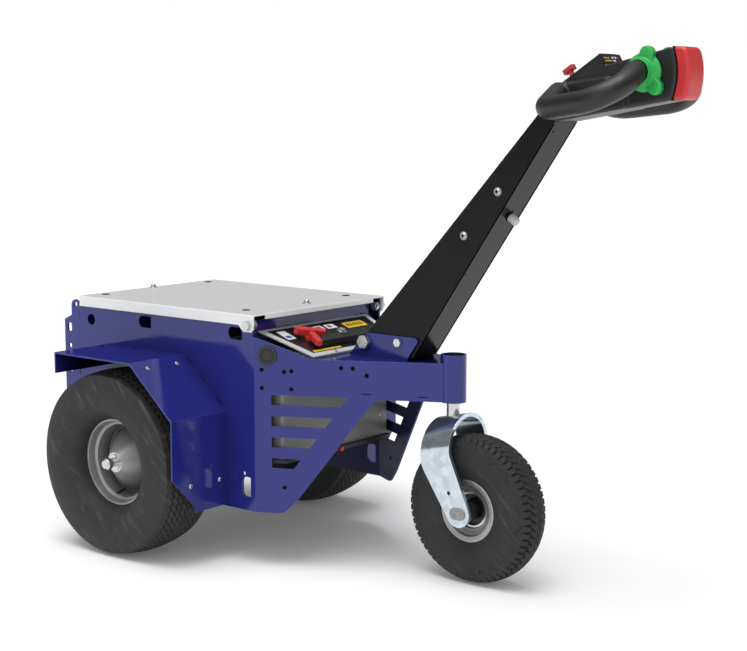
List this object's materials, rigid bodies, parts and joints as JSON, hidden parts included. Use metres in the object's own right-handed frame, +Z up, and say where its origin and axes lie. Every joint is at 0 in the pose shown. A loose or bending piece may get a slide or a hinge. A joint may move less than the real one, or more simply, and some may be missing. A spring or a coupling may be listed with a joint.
{
  "type": "electric trolley mover",
  "caption": "Pedestrian-steered electric trolley mover: folded sheet chassis on pneumatic drive wheels, swivelling front castor, opening lid and a tiller with loop grips.",
  "frame": {"origin": "on the floor, at the middle of the length and width", "axes": "+X towards the castor and tiller, +Y to the left, +Z up"},
  "size_m": [1.3844, 0.689, 0.9959],
  "materials": {
    "blue_paint": "gloss paint",
    "rubber": "matt",
    "tray_black": "satin paint",
    "battery_grey": "satin",
    "motor_black": "painted",
    "console_grey": "satin paint",
    "console_black": "satin",
    "red_plastic": "satin",
    "bright_steel": "zinc plated",
    "tiller_black": "satin powder coat",
    "head_black": "fine grain",
    "green_plastic": "satin",
    "lid_grey": "satin paint",
    "tyre": "matt",
    "rim_silver": "satin paint",
    "galvanised": "galvanised",
    "hub_black": "satin"
  },
  "bodies": {
    "chassis": {"side_plate_right": "blue_paint", "side_plate_left": "blue_paint", "fender_right": "blue_paint", "fender_left": "blue_paint", "rear_plate": "blue_paint", "cross_plate": "blue_paint", "beam_top_plate": "blue_paint", "beam_bottom_plate": "blue_paint", "head_tube": "blue_paint", "tiller_bracket": "blue_paint", "rubber_plugs": "rubber", "battery_tray": "tray_black", "battery_box": "battery_grey", "drive_unit": "motor_black", "console_plate": "console_grey", "console_ridge": "console_black", "isolator_handle": "red_plastic", "belly_switch": "red_plastic", "stop_key": "red_plastic", "key_switch": "bright_steel", "clamp_bolts": "bright_steel", "latch_pin": "bright_steel", "lid_pivot_bolts": "bright_steel", "tiller_column": "tiller_black", "head_housing": "head_black", "grip_loop_right": "head_black", "grip_loop_left": "head_black", "butterfly_right": "green_plastic", "butterfly_left": "green_plastic"},
    "lid": {"lid": "lid_grey"},
    "drive_wheel_right": {"drive_tyre_right": "tyre", "drive_rim_right": "rim_silver", "drive_hub_right": "bright_steel"},
    "drive_wheel_left": {"drive_tyre_left": "tyre", "drive_rim_left": "rim_silver", "drive_hub_left": "bright_steel"},
    "castor_swivel": {"castor_fork": "galvanised", "castor_stem": "bright_steel", "castor_axle": "bright_steel"},
    "castor_wheel": {"castor_tyre": "tyre", "castor_rim": "rim_silver", "castor_hub": "hub_black"}
  },
  "joints": [
    {"name": "lid_hinge", "type": "hinge", "parent": "chassis", "child": "lid", "pos_m": [-0.1442, 0, 0.477], "axis": [0, 1, 0], "range_deg": [0, 85]},
    {"name": "drive_right_spin", "type": "hinge", "parent": "chassis", "child": "drive_wheel_right", "pos_m": [-0.4158, -0.2725, 0.1875], "axis": [0, 1, 0], "continuous": true},
    {"name": "drive_left_spin", "type": "hinge", "parent": "chassis", "child": "drive_wheel_left", "pos_m": [-0.4158, 0.2725, 0.1875], "axis": [0, 1, 0], "continuous": true},
    {"name": "castor_swivel_turn", "type": "hinge", "parent": "chassis", "child": "castor_swivel", "pos_m": [0.1992, 0, 0.33], "axis": [0, 0, 1], "continuous": true},
    {"name": "castor_spin", "type": "hinge", "parent": "castor_swivel", "child": "castor_wheel", "pos_m": [0.2562, 0, 0.1425], "axis": [0, 1, 0], "continuous": true}
  ]
}
